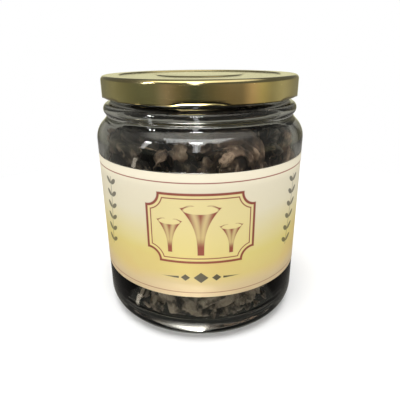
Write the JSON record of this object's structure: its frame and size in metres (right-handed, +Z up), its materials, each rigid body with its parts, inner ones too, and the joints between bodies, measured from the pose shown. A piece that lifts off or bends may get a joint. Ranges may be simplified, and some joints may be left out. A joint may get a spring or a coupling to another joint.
{
  "type": "jar of dried black trumpet mushrooms",
  "caption": "Closed glass twist-off jar with a gold lid and a wrap-around paper label, packed with dried black trumpet mushrooms.",
  "frame": {"origin": "centre of the jar's footprint, on the surface it stands on", "axes": "+Z up along the jar's axis, -Y the front of the label, +X to the right of the front"},
  "size_m": [0.093, 0.093, 0.1077],
  "materials": {
    "clear_glass": "clear, polished",
    "gold_lacquer": "gold lacquered tinplate, glossy",
    "sealing_compound": "soft, satin",
    "label_paper": "printed paper, semi-matte",
    "mushroom_black": "dried, wrinkled, matt",
    "mushroom_brown": "dried, wrinkled, matt",
    "mushroom_grey": "dried, wrinkled, matt"
  },
  "bodies": {
    "jar": {"glass_jar": "clear_glass", "label": "label_paper", "mushroom_01": "mushroom_black", "mushroom_02": "mushroom_brown", "mushroom_03": "mushroom_grey", "mushroom_04": "mushroom_black", "mushroom_05": "mushroom_brown", "mushroom_06": "mushroom_grey", "mushroom_07": "mushroom_black", "mushroom_08": "mushroom_brown", "mushroom_09": "mushroom_grey", "mushroom_10": "mushroom_black", "mushroom_11": "mushroom_brown", "mushroom_12": "mushroom_grey", "mushroom_13": "mushroom_black", "mushroom_14": "mushroom_brown", "mushroom_15": "mushroom_grey", "mushroom_16": "mushroom_black", "mushroom_17": "mushroom_brown", "mushroom_18": "mushroom_grey", "mushroom_19": "mushroom_black", "mushroom_20": "mushroom_brown", "mushroom_21": "mushroom_grey", "mushroom_22": "mushroom_black", "mushroom_23": "mushroom_brown", "mushroom_24": "mushroom_grey", "mushroom_25": "mushroom_black", "mushroom_26": "mushroom_brown", "mushroom_27": "mushroom_grey", "mushroom_28": "mushroom_black", "mushroom_29": "mushroom_brown", "mushroom_30": "mushroom_grey", "mushroom_31": "mushroom_black", "mushroom_32": "mushroom_brown", "mushroom_33": "mushroom_grey", "mushroom_34": "mushroom_black", "mushroom_35": "mushroom_brown", "mushroom_36": "mushroom_grey", "mushroom_37": "mushroom_black", "mushroom_38": "mushroom_brown", "mushroom_39": "mushroom_grey", "mushroom_40": "mushroom_black", "mushroom_41": "mushroom_brown", "mushroom_42": "mushroom_grey", "mushroom_43": "mushroom_black", "mushroom_44": "mushroom_brown", "mushroom_45": "mushroom_grey", "mushroom_46": "mushroom_black", "mushroom_47": "mushroom_brown", "mushroom_48": "mushroom_grey", "mushroom_49": "mushroom_black", "mushroom_50": "mushroom_brown", "mushroom_51": "mushroom_grey", "mushroom_52": "mushroom_black", "mushroom_53": "mushroom_brown", "mushroom_54": "mushroom_grey"},
    "lid_seal": {"sealing_ring": "sealing_compound"},
    "lid": {"lid": "gold_lacquer"}
  },
  "joints": [
    {"name": "lid_rise", "type": "slide", "parent": "jar", "child": "lid_seal", "axis": [0, 0, 1], "range_m": [0, 0.00121]},
    {"name": "lid_twist", "type": "hinge", "parent": "lid_seal", "child": "lid", "pos_m": [0, 0, 0.1], "axis": [0, 0, 1], "range_deg": [0, 32]}
  ],
  "couplings": [
    {"joint": "lid_rise", "follows": "lid_twist", "m_per_rad": 0.0021486}
  ]
}
